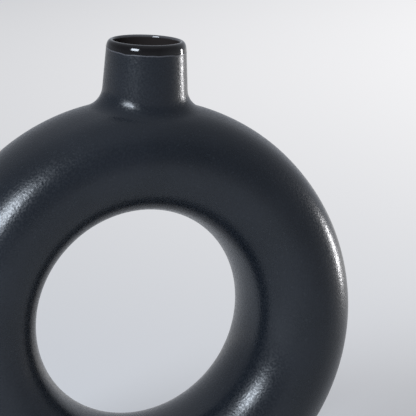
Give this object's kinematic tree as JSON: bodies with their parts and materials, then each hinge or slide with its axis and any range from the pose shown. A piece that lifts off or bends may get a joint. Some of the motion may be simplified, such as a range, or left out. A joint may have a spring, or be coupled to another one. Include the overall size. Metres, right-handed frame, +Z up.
{
  "type": "donut vase",
  "caption": "Ring-shaped ceramic vase: a hollow satin black ring with a flat foot and a short open neck with a glossy lip.",
  "frame": {"origin": "on the surface that the vase stands on, under the middle of the foot", "axes": "+Z up through the neck, +Y through the hole of the ring from its front to its back, +X across the ring"},
  "size_m": [0.2, 0.065, 0.2235],
  "materials": {
    "stoneware": "bare fired clay, matt",
    "slip": "fired slip, matt",
    "matte_black_glaze": "satin matt, fine eggshell texture",
    "gloss_black_glaze": "gloss",
    "pad_rubber": "soft matt"
  },
  "bodies": {
    "root": {"ring_front_half": "stoneware", "ring_back_half": "stoneware", "seam_slip": "slip", "neck_collar": "stoneware", "neck_slip": "slip", "gloss_glaze": "gloss_black_glaze", "matte_glaze": "matte_black_glaze", "base_pads": "pad_rubber"}
  },
  "joints": []
}
